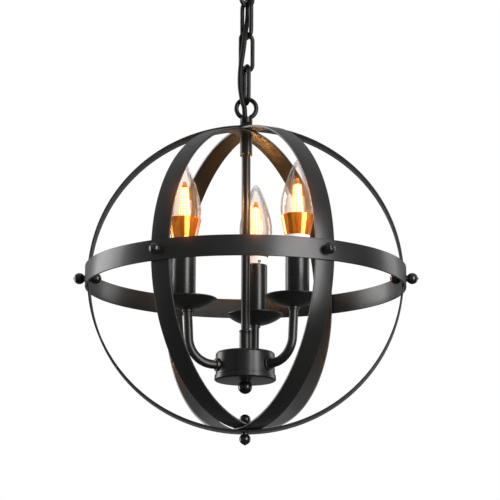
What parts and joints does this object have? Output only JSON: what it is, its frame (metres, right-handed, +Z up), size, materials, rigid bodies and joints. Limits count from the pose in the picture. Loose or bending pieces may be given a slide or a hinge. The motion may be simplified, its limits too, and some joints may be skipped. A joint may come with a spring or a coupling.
{
  "type": "orb chandelier",
  "caption": "Open orb cage of black steel bands, hung by chain from a ceiling canopy, holding upright candle lights with drip pans and clear flame bulbs.",
  "frame": {"origin": "centre of the crossbar slots, in the ceiling plane, on the hanging axis", "axes": "+Z up out of the ceiling plane, +X along the crossbar, -Y towards the viewer"},
  "size_m": [0.3658, 0.34, 0.5799],
  "materials": {
    "satin_black_paint": "satin",
    "zinc_steel": "satin",
    "gold_anodised": "polished",
    "white_plastic": "matte",
    "socket_plastic": "matte",
    "connector_plastic": "gloss",
    "clear_glass": "clear",
    "led_phosphor": "translucent",
    "cord_jacket": "matte"
  },
  "bodies": {
    "ceiling_fitting": {"mounting_bar": "zinc_steel", "ceiling_nipple": "zinc_steel", "bar_locknuts": "zinc_steel", "ground_screw": "zinc_steel", "ceiling_canopy": "satin_black_paint", "collar_nut": "satin_black_paint", "canopy_loop": "satin_black_paint", "supply_cord_1": "cord_jacket"},
    "link_1": {"chain_link_1": "satin_black_paint", "supply_cord_2": "cord_jacket"},
    "link_2": {"chain_link_2": "satin_black_paint", "supply_cord_3": "cord_jacket"},
    "link_3": {"chain_link_3": "satin_black_paint", "supply_cord_4": "cord_jacket"},
    "link_4": {"chain_link_4": "satin_black_paint"},
    "bulb_1": {"bulb_1_base": "white_plastic", "bulb_1_heat_sink": "gold_anodised", "bulb_1_glass": "clear_glass", "bulb_1_led_column": "led_phosphor"},
    "bulb_2": {"bulb_2_base": "white_plastic", "bulb_2_heat_sink": "gold_anodised", "bulb_2_glass": "clear_glass", "bulb_2_led_column": "led_phosphor"},
    "bulb_3": {"bulb_3_base": "white_plastic", "bulb_3_heat_sink": "gold_anodised", "bulb_3_glass": "clear_glass", "bulb_3_led_column": "led_phosphor"},
    "fixture": {"arm_ferrules": "satin_black_paint", "arm_leads": "cord_jacket", "arm_tube_1": "satin_black_paint", "arm_tube_2": "satin_black_paint", "arm_tube_3": "satin_black_paint", "ball_nuts": "satin_black_paint", "ball_screws": "satin_black_paint", "candle_sleeve_1": "satin_black_paint", "candle_sleeve_2": "satin_black_paint", "candle_sleeve_3": "satin_black_paint", "drip_pan_1": "satin_black_paint", "drip_pan_2": "satin_black_paint", "drip_pan_3": "satin_black_paint", "equator_ring": "satin_black_paint", "fixture_loop": "satin_black_paint", "hex_locknuts": "zinc_steel", "hub_body": "satin_black_paint", "hub_cover": "satin_black_paint", "hub_finial": "satin_black_paint", "hub_wire_nuts": "connector_plastic", "lamp_socket_1": "socket_plastic", "lamp_socket_2": "socket_plastic", "lamp_socket_3": "socket_plastic", "pan_nuts": "satin_black_paint", "socket_brackets": "zinc_steel", "stem_collar": "satin_black_paint", "stem_coupler": "satin_black_paint", "stem_tube": "satin_black_paint", "supply_cord_5": "cord_jacket", "threaded_nipples": "zinc_steel", "vertical_ring_1": "satin_black_paint", "vertical_ring_2": "satin_black_paint", "vertical_ring_3": "satin_black_paint"}
  },
  "joints": [
    {"name": "canopy_loop_swing", "type": "hinge", "parent": "ceiling_fitting", "child": "link_1", "pos_m": [0, 0, -0.06435], "axis": [0.6428, -0.766, 0], "range_deg": [-10, 10], "deforming": ["supply_cord_1"]},
    {"name": "link_1_swing", "type": "hinge", "parent": "link_1", "child": "link_2", "pos_m": [0, 0, -0.10075], "axis": [0.788, 0.6157, 0], "range_deg": [-10, 10], "deforming": ["supply_cord_2"]},
    {"name": "link_2_swing", "type": "hinge", "parent": "link_2", "child": "link_3", "pos_m": [0, 0, -0.13725], "axis": [0.6428, -0.766, 0], "range_deg": [-10, 10], "deforming": ["supply_cord_3"]},
    {"name": "link_3_swing", "type": "hinge", "parent": "link_3", "child": "link_4", "pos_m": [0, 0, -0.17375], "axis": [0.809, 0.5878, 0], "range_deg": [-10, 10], "deforming": ["supply_cord_4"]},
    {"name": "fixture_swing", "type": "hinge", "parent": "link_4", "child": "fixture", "pos_m": [0, 0, -0.21025], "axis": [0.3256, -0.9455, 0], "range_deg": [-10, 10], "deforming": ["supply_cord_5"]},
    {"name": "bulb_1_out", "type": "slide", "parent": "fixture", "child": "bulb_1", "axis": [0, 0, 1], "range_m": [0, 0.02]},
    {"name": "bulb_2_out", "type": "slide", "parent": "fixture", "child": "bulb_2", "axis": [0, 0, 1], "range_m": [0, 0.02]},
    {"name": "bulb_3_out", "type": "slide", "parent": "fixture", "child": "bulb_3", "axis": [0, 0, 1], "range_m": [0, 0.02]}
  ]
}
